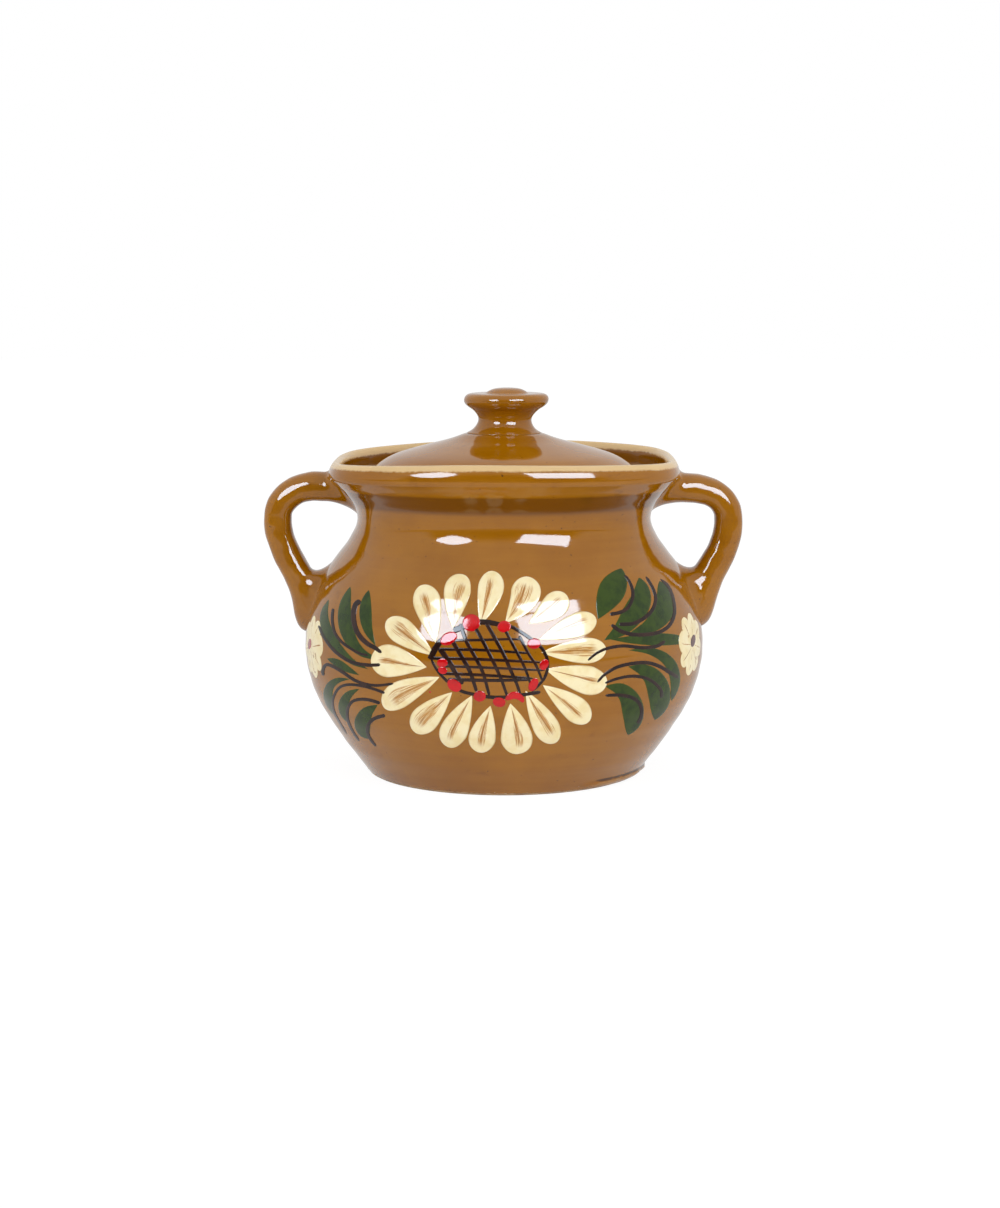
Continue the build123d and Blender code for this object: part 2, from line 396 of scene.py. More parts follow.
def potOutline(shape, part="all"):
    points = shape["underside"] + shape["outside"] + shape["collar"] + shape["mouth"] + shape["inside"]
    walk = smoothLine(points, shape["step"])
    top = max(range(len(walk)), key=lambda index: walk[index].y)
    if part == "belly":      # only the outer wall, finely stepped, for the painting to lie on
        wall = [point for point in walk[:top] if shape["bellyFrom"] < point.y < shape["bellyTo"]]
        walk = smoothLine([(point.x, point.y) for point in wall], shape["bellyStep"])
        top = len(walk)
    fields = {name: [] for name in ("square", "soft", "sag", "burr", "worn", "bare", "pooled", "crease")}
    crest = Vector((*shape["crest"], 0))
    for index, point in enumerate(walk):
        outer = index <= top
        fields["square"].append(levelValue(point.y, shape["squareOutside" if outer else "squareInside"]))
        seatFree = 1 if outer else levelValue(point.y, shape["seatFreeBy"])
        uneven = levelValue(point.y, shape["unevenBy"])
        fields["soft"].append(min(1, point.x / shape["unevenFrom"]) * uneven * seatFree)
        fields["sag"].append(levelValue(point.y, shape["sagBy"]))
        ledge = levelValue(point.y, shape["ledgeBy"]) * levelValue(point.x, shape["ledgeFrom"])
        fields["burr"].append(ledge if outer else 0)
        fields["crease"].append(levelValue(point.y, shape["creaseShadeBy"]) if outer else 0)
        fields["worn"].append(max(0, 1 - (point - crest).length / shape["wornReach"]))
        fields["bare"].append(levelValue(point.y, shape["bareBy"]) if outer else 0)
        fields["pooled"].append(levelValue(point.y, shape["paintedShadeOutside" if outer else "paintedShadeInside"]))
    return outlineHost(walk, **fields)


def makePot(tree, clay):
    pot = growPiece("glazedPot", tree, potOutline(potShape), Rounds=potShape["rounds"], Lean=0.0, Clay=clay)
    canvas = growPiece("canvas", tree, potOutline(potShape, "belly"), Rounds=potShape["bellyRounds"],
                       Lean=0.0, Clay=clay)
    return pot, canvas


lidShape = {
    "under": [
        (0, 185.3), (14, 184.9), (26, 182.9), (40, 178.9), (50, 176.3), (60, 173.1), (66, 170.2),
        (71, 165.9), (74.2, 161.0), (75.4, 157.6), (76.2, 156.3),
    ],
    "edge": [(77.6, 155.95), (79.0, 156.05), (80.5, 157.2), (81.3, 159.2), (81.25, 161.4)],
    "top": [
        (79.7, 164.0), (76.9, 167.5), (72.1, 172.3), (67.4, 175.7), (61.5, 178.7), (54.3, 181.1),
        (47, 183.1), (39.8, 185.0), (32, 187.0), (26.5, 188.8), (22.8, 190.2), (19.6, 191.0),
        (15, 191.25), (0, 191.25),
    ],
    "step": 1.3, "rounds": 240, "bareBy": [(0.5, 1), (1.3, 0)],
}
knobShape = {
    "foot": [(0, 190.95), (15, 190.95), (20.2, 190.75), (20.9, 190.85)],
    "side": [
        (20.3, 191.25), (18.6, 192.2), (17.0, 193.6), (15.6, 195.6), (14.9, 197.9), (15.3, 199.9),
        (16.7, 202.0), (18.7, 203.9), (21.3, 205.6), (23.0, 207.2), (23.65, 209.0), (23.4, 210.7),
        (22.2, 212.1), (20.2, 212.8),
    ],
    "crown": [
        (16.5, 213.0), (13.4, 212.95), (11.9, 213.15), (10.4, 214.1), (7.6, 215.3), (4.0, 215.85),
        (0, 216.0),
    ],
    "step": 0.75, "rounds": 160, "lean": 0.07, "bareBy": [(0, 0)],
}
# the lid and the knob are turned more evenly than the pot
lidTurning = {"unevenShare": 0.55, "unevenFrom": 30, "unevenBy": [(6, 0), (12, 1)]}


def makeTurned(name, tree, shape, parts, clay, lean=0.0):
    walk = smoothLine(sum((shape[part] for part in parts), []), shape["step"])
    low = min(point.y for point in walk)
    fields = {name: [0.0] * len(walk) for name in ("sag", "burr", "crease", "worn", "pooled")}
    fields["square"] = [2.0] * len(walk)
    fields["soft"] = []
    for point in walk:
        outFrom = min(1, point.x / lidTurning["unevenFrom"])
        upFrom = levelValue(point.y - low, lidTurning["unevenBy"])
        fields["soft"].append(lidTurning["unevenShare"] * outFrom * upFrom)
    fields["bare"] = [levelValue(point.y - low, shape["bareBy"]) for point in walk]
    return growPiece(name, tree, outlineHost(walk, **fields), Rounds=shape["rounds"], Lean=lean, Clay=clay)


# Handles: a pulled strap, with its two roots smeared onto the pot

handleShapes = {
    "leftHandle": {
        "side": -1, "node": "left_handle",
        "route": [
            (101.5, 160.6), (108.5, 160.6), (116, 158.6), (122.2, 154.3), (126.2, 148.2), (127.0, 141),
            (126.2, 133.5), (123.2, 125.2), (119.6, 117.8), (116.2, 111.6),
        ],
        "thick": [(0, 8.2), (0.2, 7.9), (0.45, 7.75), (0.7, 7.7), (1, 8.0)],
        "broad": [(0, 10.4), (0.15, 9.3), (0.5, 9.0), (0.8, 9.2), (1, 10.0)],
        "seed": 3.0,
        "topRoot": {"middle": 159.5, "up": 12.0, "down": 16.0, "wide": 19.0, "lip": 0.0},
        "lowRoot": {"middle": 98.5, "up": 21.5, "down": 20.0, "wide": 17.5, "lip": 8.6},
    },
    "rightHandle": {
        "side": 1, "node": "right_handle",
        "route": [
            (101.5, 159.8), (108.5, 159.2), (116, 157.2), (121.8, 153.3), (125.3, 147.4),
            (126.0, 140.6), (125.3, 133.6), (122.8, 125.6), (119.4, 118.8), (116.2, 112.8),
        ],
        "thick": [(0, 8.3), (0.2, 7.8), (0.45, 7.7), (0.7, 8.1), (1, 8.7)],
        "broad": [(0, 10.8), (0.15, 9.4), (0.5, 9.0), (0.8, 9.3), (1, 10.2)],
        "seed": 8.0,
        "topRoot": {"middle": 160.5, "up": 13.5, "down": 15.5, "wide": 20.0, "lip": 0.0},
        "lowRoot": {"middle": 99.5, "up": 20.5, "down": 18.0, "wide": 18.0, "lip": 8.2},
    },
}
strapForm = {
    "sides": 72, "step": 1.1, "squareness": 2.35, "ridge": 0.022,
    # dents left by the fingers, mm, and the share and the fineness of the small ones
    "dent": 0.35, "dentSize": 11.0, "smallDents": (0.4, 2.3), "fadeRings": 14,
    # the roots, mm
    "rootSteps": 26, "leave": 0.4, "arrive": 0.5, "lipLift": 0.3, "lipReach": 10, "lipPower": 1.5,
    "sink": 0.35, "capDepth": 3.0, "farOut": 200,
}


def strapRing(middle, heading, side, thick, broad):
    # one section of the strap: the first point is on the side away from the finger gap
    outward = Vector((-heading.z, 0, heading.x)) * side
    ring = []
    for index in range(strapForm["sides"]):
        angle = 2 * pi * index / strapForm["sides"]
        power = strapForm["squareness"]
        spread = (abs(cos(angle)) ** power + abs(sin(angle)) ** power) ** (1 / power)
        swell = (1 + strapForm["ridge"] * cos(3 * angle)) / spread
        aside = Vector((0, 1, 0)) * sin(angle) * broad * swell
        ring.append(middle + outward * cos(angle) * thick * swell + aside)
    return ring


def rootRings(ring, heading, side, root, pot):
    # columns that run on from the strap's last ring and flare out onto the pot's wall
    count, steps = strapForm["sides"], strapForm["rootSteps"]
    upward = heading.z < -0.5        # the lower root: its first column ends lowest

    def landing(across, height):
        start = Vector((side * strapForm["farOut"], across, height)) * mm
        hit = pot.ray_cast(start, Vector((-side, 0, 0)))
        return hit[0] / mm, hit[1]

    centre, centreNormal = landing(0, root["middle"])
    columns = []
    for index, start in enumerate(ring):
        angle = 2 * pi * index / count
        rise = -cos(angle) if upward else cos(angle)
        height = root["middle"] + rise * (root["up"] if rise > 0 else root["down"])
        foot, normal = landing(root["wide"] * sin(angle), height)
        lip = root["lip"] * max(0, cos(angle)) ** strapForm["lipPower"]
        gap = start - foot
        along = gap - normal * gap.dot(normal)
        leave = start + heading * gap.length * strapForm["leave"]
        settle = strapForm["arrive"] * (1 - lip / strapForm["lipReach"])
        arrive = foot + normal * (lip + strapForm["lipLift"]) + along * settle
        columns.append(interpolate_bezier(start, leave, arrive, foot - normal * strapForm["sink"], steps))
    rings = [[column[step] for column in columns] for step in range(1, steps)]
    return rings, centre - centreNormal * strapForm["capDepth"]


def makeHandle(name, shape, pot, clay):
    side = shape["side"]
    bend = smoothLine(shape["route"], strapForm["step"])
    route = [Vector((point.x * side, 0, point.y)) for point in bend]
    rings = []
    for index, middle in enumerate(route):
        heading = (route[min(index + 1, len(route) - 1)] - route[max(index - 1, 0)]).normalized()
        share = index / (len(route) - 1)
        thick, broad = levelValue(share, shape["thick"]), levelValue(share, shape["broad"])
        rings.append(strapRing(middle, heading, side, thick, broad))
    first = (route[0] - route[1]).normalized()
    last = (route[-1] - route[-2]).normalized()
    topRings, topCap = rootRings(rings[0], first, side, shape["topRoot"], pot)
    lowRings, lowCap = rootRings(rings[-1], last, side, shape["lowRoot"], pot)
    rings = topRings[::-1] + rings + lowRings
    count = strapForm["sides"]
    smallShare, smallFine = strapForm["smallDents"]
    spots = []
    for row, ring in enumerate(rings):
        fade = min(1, row / strapForm["fadeRings"], (len(rings) - 1 - row) / strapForm["fadeRings"])
        middle = sum(ring, Vector()) / count
        for spot in ring:
            place = spot / strapForm["dentSize"] + Vector((shape["seed"], 0, 0))
            dents = noise.noise(place) + smallShare * noise.noise(place * smallFine)
            push = dents * strapForm["dent"] * fade
            spots.append(spot + (spot - middle).normalized() * push)
    faces = []
    for row in range(len(rings) - 1):
        for index in range(count):
            after = (index + 1) % count
            low, high = row * count, (row + 1) * count
            faces.append((low + index, low + after, high + after, high + index))
    spots += [topCap, lowCap]
    final = (len(rings) - 1) * count
    for index in range(count):
        after = (index + 1) % count
        faces.append((len(spots) - 2, after, index))
        faces.append((len(spots) - 1, final + index, final + after))
    if side > 0:
        faces = [face[::-1] for face in faces]
    mesh = bpy.data.meshes.new(name)
    mesh.from_pydata([spot * mm for spot in spots], [], faces)
    mesh.materials.append(clay)
    mesh.shade_smooth()
    return newObject(name, mesh)


# Painting: strokes are drawn on a flat sheet facing the eye and laid on the pot by the nodes

easel = {
    "eye": (-2.26, -1380.0, 284.5),       # where the photograph was taken from, mm
    "pitch": 7.86,                        # degrees it looks down
    "pixel": 0.565,                       # mm that a pixel covers at the pot's axis
    "midPixel": (500, 604), "longSide": 1208,     # the photograph's middle and its longer side
    "reach": 1393.1,                      # mm from the eye to the sheet
    "rayLength": 10.0,                    # metres
    "sink": 0.22,                         # mm that a stroke's underside lies in the glaze
    "thin": 0.9, "thinPower": 0.6,        # mm; a stroke narrower than this also stands lower
    "weld": 0.012,                        # mm within which a stroke's points join at its ends
    "step": 0.4, "leastRadius": 0.002,    # mm
    "beadSides": 22, "swell": 1.22,       # how much wider the dark lines are than their widths below
}
coatForm = {     # how high the slip stands, mm, and how steep its edge is
    "green": (0.07, 2.0), "cream": (0.13, 2.2), "dark": (0.2, 1.7), "red": (0.3, 1.5),
    "mark": (0.16, 1.7), "eye": (0.24, 1.7),
}


def slipTree():
    tree, given = startTree("slip on the pot", Strokes="object", Pot="object",
                            Eye="vector", Right="vector", Up="vector", Ahead="vector",
                            Rise="number", Steep="number", Sink="number", Thin="number", Slip="material")
    along = addNode(tree, "GeometryNodeSplineParameter").outputs["Factor"]
    strokes = keepValue(tree, geometryOf(tree, given["Strokes"]), "along", along)
    # a stroke's tilt carries how hard the brush streaked it
    strokes = keepValue(tree, strokes, "brush", addNode(tree, "GeometryNodeInputCurveTilt").outputs[0])
    strokes = fill(tree, addNode(tree, "GeometryNodeSetCurveTilt"), Curve=strokes, Tilt=0.0).outputs[0]
    chance = addNode(tree, "FunctionNodeRandomValue", data_type="FLOAT")
    put(tree, chance.inputs["ID"], addNode(tree, "GeometryNodeCurveOfPoint").outputs["Curve Index"])
    strokes = keepValue(tree, strokes, "chance", chance.outputs[1])
    flat = fill(tree, addNode(tree, "GeometryNodeSetCurveNormal", mode="Z_UP"), Curve=strokes)
    breadth = addNode(tree, "GeometryNodeInputRadius").outputs[0]
    kept = keepValue(tree, flat.outputs[0], "breadth", breadth)
    bead = addNode(tree, "GeometryNodeCurvePrimitiveCircle")
    fill(tree, bead, Resolution=easel["beadSides"], Radius=1.0)
    section = keepValue(tree, bead.outputs[0], "lens", positionOf(tree), "FLOAT_VECTOR")
    swept = addNode(tree, "GeometryNodeCurveToMesh")
    fill(tree, swept, Curve=kept, Scale=readValue(tree, "breadth"))
    tree.links.new(section, swept.inputs["Profile Curve"])

    # each point of the sheet is cast from the eye onto the pot
    sheetPlace = split(tree, positionOf(tree))
    sideways = calcVector(tree, "SCALE", given["Right"], scale=sheetPlace["X"])
    upways = calcVector(tree, "SCALE", given["Up"], scale=sheetPlace["Y"])
    aim = calcVector(tree, "ADD", calcVector(tree, "ADD", sideways, upways), given["Ahead"])
    cast = addNode(tree, "GeometryNodeRaycast", data_type="FLOAT_VECTOR", mapping="INTERPOLATED")
    put(tree, cast.inputs["Target Geometry"], geometryOf(tree, given["Pot"]))
    put(tree, cast.inputs["Attribute"], addNode(tree, "GeometryNodeInputNormal").outputs[0])
    put(tree, cast.inputs["Source Position"], given["Eye"])
    put(tree, cast.inputs["Ray Direction"], calcVector(tree, "NORMALIZE", aim))
    cast.inputs["Ray Length"].default_value = easel["rayLength"]

    # a steep edge, a flat top and an underside sunk in the glaze
    lens = split(tree, readValue(tree, "lens", "FLOAT_VECTOR"))
    crown = times(tree, calc(tree, "MAXIMUM", lens["Y"], 0.0), given["Steep"])
    over = times(tree, calc(tree, "MINIMUM", crown, 1.0), given["Rise"])
    under = times(tree, calc(tree, "MINIMUM", lens["Y"], 0.0), given["Sink"])
    slim = calc(tree, "MINIMUM", calc(tree, "DIVIDE", readValue(tree, "breadth"), given["Thin"]), 1.0)
    slim = calc(tree, "POWER", slim, easel["thinPower"])
    lift = times(tree, plus(tree, over, under), slim)
    normal = calcVector(tree, "NORMALIZE", cast.outputs["Attribute"])
    offset = calcVector(tree, "SCALE", normal, scale=lift)
    laid = calcVector(tree, "ADD", cast.outputs["Hit Position"], offset)
    kept = keepValue(tree, swept.outputs[0], "across", lens["X"])
    moved = fill(tree, addNode(tree, "GeometryNodeSetPosition"), Geometry=kept, Position=laid)
    closed = addNode(tree, "GeometryNodeMergeByDistance")
    fill(tree, closed, Geometry=moved.outputs[0], Distance=easel["weld"] * mm)
    outwards = fill(tree, addNode(tree, "GeometryNodeFlipFaces"), Mesh=closed.outputs[0])
    endTree(tree, outwards.outputs[0], given["Slip"])
    return tree


def onSheet(pixel):
    # a pixel of the photograph as a place on the sheet, in mm
    across, down = easel["midPixel"]
    return ((pixel[0] - across) * easel["pixel"], (down - pixel[1]) * easel["pixel"])


def petalBreadth(share):
    # round at the outer end, drawn out to a point at the inner one
    peak, taper, fullness = 0.30, 1.55, 0.95
    if share < peak:
        return sqrt(max(0, 1 - ((peak - share) / peak) ** 2))
    return max(0, 1 - ((share - peak) / (1 - peak)) ** taper) ** fullness


def leafBreadth(share):
    # a round-shouldered point at the start, a long tail at the end
    peak, shoulder, fullness, taper = 0.42, 2.1, 0.8, 1.7
    if share < peak:
        return max(0, 1 - ((peak - share) / peak) ** shoulder) ** fullness
    return max(0, 1 - ((share - peak) / (1 - peak)) ** taper)


def brushBreadth(share):
    # a thin brush line: set down round, lifted off in a short point
    setDown, liftOff, thinning = 0.03, 0.04, 0.3
    start = sqrt(max(0, 1 - (1 - share / setDown) ** 2)) if share < setDown else 1
    end = min(1, (1 - share) / liftOff) ** 0.5
    return start * end * (1 - thinning * share ** 3)


def dotBreadth(share):
    return sqrt(max(0, 1 - (2 * share - 1) ** 2))


def addStroke(curve, places, width, breadth, points=34, brush=0.0):
    # places and width in mm on the sheet; the points gather near the ends, where the width changes most
    walk = smoothLine(places, easel["step"])
    spline = curve.splines.new("POLY")
    spline.points.add(points - 1)
    for index, point in enumerate(spline.points):
        share = 0.5 - 0.5 * cos(pi * index / (points - 1))
        step = share * (len(walk) - 1)
        low = min(int(step), len(walk) - 2)
        place = walk[low].lerp(walk[low + 1], step - low)
        point.co = (place.x * mm, place.y * mm, 0, 1)
        point.radius = max(width / 2 * breadth(share), easel["leastRadius"]) * mm
        point.tilt = brush


def newStrokes(name):
    curve = bpy.data.curves.new(name, "CURVE")
    curve.dimensions = "3D"
    return newObject(name, curve)


def dotPlaces(middle, long, turn=0.0):
    step = Vector((cos(radians(turn)), sin(radians(turn)))) * long / 2
    across, up = middle
    return [(across - step.x, up - step.y), (across, up), (across + step.x, up + step.y)]


# The flower on the front. Every number pair is a pixel of the photograph.
petals = [   # outer end, middle of the widest part, inner point, width, how hard the brush streaked it
    ([(493, 571.0), (490.5, 590), (480.2, 625.5)], 26, 0.4),
    ([(529.5, 577.0), (523, 600), (505.5, 623)], 30, 0.95),
    ([(566, 594.5), (551, 608.5), (528.6, 623.8)], 26, 0.25),
    ([(596, 618.5), (572, 627), (539, 639.7)], 25, 0.3),
    ([(606, 649.0), (588, 650.5), (541.4, 652.5)], 26, 0.75),
    ([(607, 682), (591, 681), (545.4, 669.2)], 29, 0.25),
    ([(589, 721.5), (574, 708), (543, 685.2)], 26, 0.35),
    ([(556, 742.5), (546.5, 727.5), (525.5, 690.7)], 26, 0.6),
    ([(516.5, 754), (516.5, 738), (510.3, 703.5)], 32, 0.3),
    ([(480, 752.5), (482, 738.5), (490.4, 705.9)], 27, 0.5),
    ([(449.5, 747.5), (453, 733), (472, 695.5)], 28, 0.35),
    ([(414.5, 732), (425, 719), (452, 692.3)], 28, 0.9),
    ([(384, 707.5), (399, 695), (439.4, 677)], 27, 0.85),
    ([(371, 660), (389, 661), (426.6, 667.1)], 33, 0.25),
    ([(387, 620), (401.5, 631), (434.6, 655.7)], 26, 0.8),
    ([(422, 585), (426.5, 600), (435.7, 642.9)], 28, 0.45),
    ([(464.5, 575), (457.5, 590), (452.6, 628.6)], 27, 0.65),
]
leaves = [   # tip to tail, width
    ([(621.5, 568.5), (617.4, 579.2), (611.4, 591.4), (604, 605.9), (598, 619.2)], 27),
    ([(639.2, 577.6), (641.6, 588.9), (640.4, 601), (632, 615.6), (619.8, 630.1), (604.1, 640.4)], 23),
    ([(659.6, 581), (664.7, 595), (665.3, 605.9), (659.8, 617), (647.7, 627), (630, 632.8)], 21),
    ([(694, 641.4), (674, 639.6), (650, 639.4), (629, 639.6), (610.1, 639.4)], 12.5),
    ([(671.3, 701), (674.4, 689.5), (675, 677.4), (671.3, 665.3), (662.2, 656.2), (647.7, 650.7),
      (628.3, 650.1)], 11.5),
    ([(655, 719.8), (659.4, 701), (658.2, 688.3), (652.5, 677.4), (642.9, 670.1), (628.3, 666.5)], 23),
    ([(628, 735), (632.8, 719.8), (632.6, 707.7), (628.3, 697.2), (619.8, 689.3), (604.7, 686)], 22),
    ([(328.6, 599.6), (324.4, 612.5), (325.2, 625.1), (330.6, 637.7), (338.6, 649.2), (352.4, 661.8),
      (368.5, 669.3)], 11),
    ([(350.3, 586.8), (345.3, 604.4), (344.9, 619.4), (347.8, 633.1), (354.7, 645.8), (365, 654.4),
      (381.1, 659.8)], 14.5),
    ([(368.7, 590.2), (365.8, 604.4), (365.8, 618.2), (368.4, 630.7), (375.5, 646)], 12.5),
    ([(327.3, 658.6), (336.3, 662.4), (346.7, 668.7), (359.3, 675.2)], 8),
    ([(334.2, 714.6), (330, 704.3), (327.9, 694.5), (330.4, 685.8), (338, 680.4), (350, 679)], 9.5),
    ([(347.3, 722), (343.8, 711.2), (344.4, 701.6), (349.4, 694.3), (359.6, 688.6)], 10.5),
    ([(368.3, 738.8), (363.6, 730), (362.8, 721), (367.5, 712.2), (377.6, 704.8)], 16.5),
]
brushLines = [   # a dark line's pixels, width
    ([(610.1, 614.4), (621, 612), (628.3, 607.1), (632.6, 597.4), (631.9, 587.7), (627.1, 578),
      (624.1, 575.2)], 3.0),
    ([(619.2, 624.4), (633.2, 623.5), (644.1, 618), (652.5, 609.5), (655.6, 598.6), (652.5, 587.7),
      (645.9, 576.6)], 3.2),
    ([(611.4, 624.7), (619.8, 630.7), (632, 634.4), (647.7, 634.4), (659.8, 631.9), (669.5, 625.3),
      (674.4, 613.2), (673.1, 598.6), (668.3, 586.5), (660.4, 579.0)], 3.2),
    ([(664.9, 641.2), (657.4, 645.9), (642.9, 647.7), (623.5, 645.9), (607.7, 648.3), (596.8, 653.1),
      (587.1, 661)], 2.9),
    ([(678.4, 677.8), (670.7, 673.1), (659.8, 666.5), (647.7, 662.8), (633.2, 663.4), (617.4, 667.1),
      (604.1, 675), (596.8, 682.8)], 3.1),
    ([(661.6, 698), (661, 690.7), (655, 683.4), (645.3, 678), (632, 676.2), (617.4, 678.6),
      (604.1, 683.4)], 2.8),
    ([(637.4, 723.4), (640.4, 718.6), (641.6, 710), (638, 701.6), (629.5, 696.8), (617.4, 695),
      (605.3, 695.6)], 3.2),
    ([(380.5, 664.7), (368.5, 665.1), (354.7, 663), (344.4, 658.4), (332.9, 649.2), (323.7, 636.6),
      (318.3, 624.5)], 3.0),
    ([(333.1, 608.5), (332.3, 619.4), (334.6, 632), (340.9, 641.2), (350.1, 648.1), (359.3, 653.2),
      (368.5, 655.5)], 2.6),
    ([(360.6, 600.8), (355.8, 604.4), (353.6, 613.6), (354.7, 625.1), (359.3, 635.4), (367.3, 643.5),
      (375.4, 648.1), (381.9, 652.9)], 4.4),
    ([(323.7, 675.6), (322.8, 671), (326, 664.8), (332.9, 666.4), (344.4, 673.3), (354.7, 680.2),
      (366.2, 684.2), (377.7, 685.4), (393.9, 683.6)], 2.8),
    ([(385.1, 693.1), (373.1, 688.8), (359.3, 685.4), (346.7, 684.8), (338.6, 688.3), (332.9, 699.7),
      (334, 711.2), (339.8, 722.7), (346.7, 734.2)], 2.4),
    ([(380, 703.2), (370.8, 700.3), (361.6, 699.2), (352.4, 701.5), (347.8, 708.9), (347.8, 719.3),
      (352.4, 730.7), (359.3, 741.1)], 2.7),
    ([(385.1, 715.4), (375.4, 718.1), (369.6, 722.7), (367.3, 729.6), (369.6, 737.6),
      (376, 746.4)], 3.0),
]
lattice = [   # the dark net over the flower's eye, across and then down
    ([(453, 640.4), (480, 640), (519.5, 639.4), (524.5, 642.5)], 2.8),
    ([(438, 649.2), (480, 650), (530.6, 653.3)], 3.1),
    ([(430.8, 658.1), (480, 659.4), (541.4, 662.4)], 3.3),
    ([(441, 666.0), (490, 667.8), (545, 670.4)], 2.7),
    ([(442, 673.4), (480, 675), (533.2, 678.4)], 3.2),
    ([(448, 679.4), (490, 680.4), (530, 679.8)], 3.5),
    ([(439.8, 648.6), (449.9, 663), (455.7, 673.2), (463, 684.2)], 5.4),
    ([(452, 640.4), (461.5, 656.4), (469.8, 671.3), (476.8, 692)], 4.5),
    ([(460.2, 623.6), (466.5, 641.5), (474.8, 656.4), (483, 673), (489.6, 696.5)], 4.0),
    ([(474.4, 626), (484.7, 644.8), (493.8, 663), (501.3, 679.6), (507.6, 697)], 3.8),
    ([(486.0, 622.6), (496.3, 640.7), (503.8, 654.8), (510.4, 669.7), (517, 684.6),
      (520.6, 695.4)], 4.0),
    ([(504.4, 628.4), (512.9, 644.8), (520.4, 658.9), (526.2, 671.3), (530.4, 684)], 3.3),
    ([(519.2, 635.8), (528.6, 653.9), (536.1, 665.5), (542.4, 681)], 3.1),
]
eyeOutline = [   # the line round the flower's eye, in four brush lines
    ([(430.2, 659.4), (434.6, 649.8), (440.6, 641.4), (448.4, 635)], 6.4),
    ([(453.5, 630.4), (460.7, 628.0), (470, 622.9), (481, 621.9), (491, 622.8), (502, 625.2)], 6.2),
    ([(498.6, 624.3), (511.2, 626.8), (523.7, 634), (532, 639.8), (540.3, 646.5), (546.5, 657),
      (547.6, 668), (544.4, 678), (538.6, 685.2), (532, 691.5)], 3.6),
    ([(540.6, 692.0), (523.7, 694.7), (507, 697), (489.7, 697), (474.8, 694.5), (462.3, 691.4),
      (453, 685.5), (444.6, 678.8), (436.4, 669), (430.6, 658)], 3.6),
]
redDots = [   # middle, length, width, turn in degrees
    ((471.4, 622.8), 17.5, 17.5, 30), ((448.8, 638.6), 18, 12.5, 30), ((504.2, 626.6), 13.5, 12, 10),
    ((534, 643.6), 13.2, 11, 0), ((544.2, 664.6), 11.5, 9, 60), ((533.4, 684.6), 14, 9, 62),
    ((479.7, 696.2), 12.4, 11, 0), ((499.2, 702), 12.8, 10.4, -10), ((454.4, 685.2), 15.5, 12, -38),
    ((442.4, 662.8), 10.8, 9.6, 0), ((442.6, 670.4), 9.4, 7.6, -20), ((430, 692), 2.2, 1.8, 0),
]
redSmear = ([(505.5, 699.6), (510, 696.6), (515, 695.2), (520.5, 697.6), (523.4, 702.4)], 7.6)


def slipCoat(name, tree, strokes, canvas, slip, coat, frameOfSheet=None):
    # lays a set of strokes on the pot, through the eye of the photograph or of a given sheet
    rise, steep = coatForm[coat]
    if frameOfSheet is None:
        pitch = radians(easel["pitch"])
        frameOfSheet = {
            "Eye": Vector(easel["eye"]) * mm,
            "Right": Vector((1, 0, 0)),
            "Up": Vector((0, sin(pitch), cos(pitch))),
            "Ahead": Vector((0, cos(pitch), -sin(pitch))) * easel["reach"] * mm,
        }
    piece = growPiece(name, tree, emptyHost(), Strokes=strokes, Pot=canvas, Rise=rise * mm, Steep=steep,
                      Sink=easel["sink"] * mm, Thin=easel["thin"] * mm, Slip=slip, **frameOfSheet)
    bpy.data.objects.remove(strokes)
    return piece


def frontStrokes(name, rows, breadth, points=34):
    strokes = newStrokes(name)
    for places, width, *brush in rows:
        sheetPlaces = [onSheet(place) for place in places]
        addStroke(strokes.data, sheetPlaces, width * easel["pixel"], breadth, points, *brush)
    return strokes


def redStrokes():
    strokes = newStrokes("redStrokes")
    for middle, long, width, turn in redDots:
        places = dotPlaces(onSheet(middle), long * easel["pixel"], turn)
        addStroke(strokes.data, places, width * easel["pixel"], dotBreadth, 22)
    smearPlaces, smearWidth = redSmear
    sheetPlaces = [onSheet(place) for place in smearPlaces]
    addStroke(strokes.data, sheetPlaces, smearWidth * easel["pixel"], dotBreadth, 26)
    return strokes


# The two small flowers at the sides: each on its own sheet, square to the wall there
sideFlowers = {
    "leftFlower": {
        "bearing": -71.5, "height": 75.0, "lobes": 8, "turn": 12.0, "eye": (-5.3, 1.0),
        "marks": [[(3.6, -1.2), (7.6, -2.4), (9.6, -5.2), (8.4, -8.4), (4.6, -10.4)],
                  [(1.4, -4.0), (4.6, -4.8), (5.6, -6.8), (3.6, -8.4)],
                  [(2.4, -13.6), (5.2, -14.8), (8.0, -14.0)]],
    },
    "rightFlower": {
        "bearing": 67.5, "height": 77.5, "lobes": 8, "turn": 30.0, "eye": (1.4, 2.0),
        "marks": [[(8.0, -6.2), (6.2, -9.2), (2.6, -12.4)], [(11.0, -7.2), (9.2, -9.8), (5.8, -12.0)],
                  [(-4.6, 3.4), (-6.4, 6.0), (-6.0, 9.0)]],
    },
}
sideFlowerForm = {
    "across": 41.0, "tall": 37.0, "heart": (0.5, 0.62),
    "lobeWidth": 13.0, "lobeMiddle": 0.55, "lobeOverlap": 0.08, "lobeSwing": 0.12,
    "eyeLength": 10.5, "eyeWidth": 6.6, "eyeTurn": 20, "markWidth": 1.4,
    "standOff": 1400,                     # mm from the sheet's eye to the pot's axis
}


def sheetAt(bearing, height):
    # a sheet square to a level line from the pot's axis; bearing 0 is the front
    ahead = Vector((-sin(radians(bearing)), cos(radians(bearing)), 0))
    away = ahead * sideFlowerForm["standOff"]
    right = Vector((cos(radians(bearing)), sin(radians(bearing)), 0))
    return {"Eye": (Vector((0, 0, height)) - away) * mm, "Right": right, "Up": Vector((0, 0, 1)),
            "Ahead": away * mm}


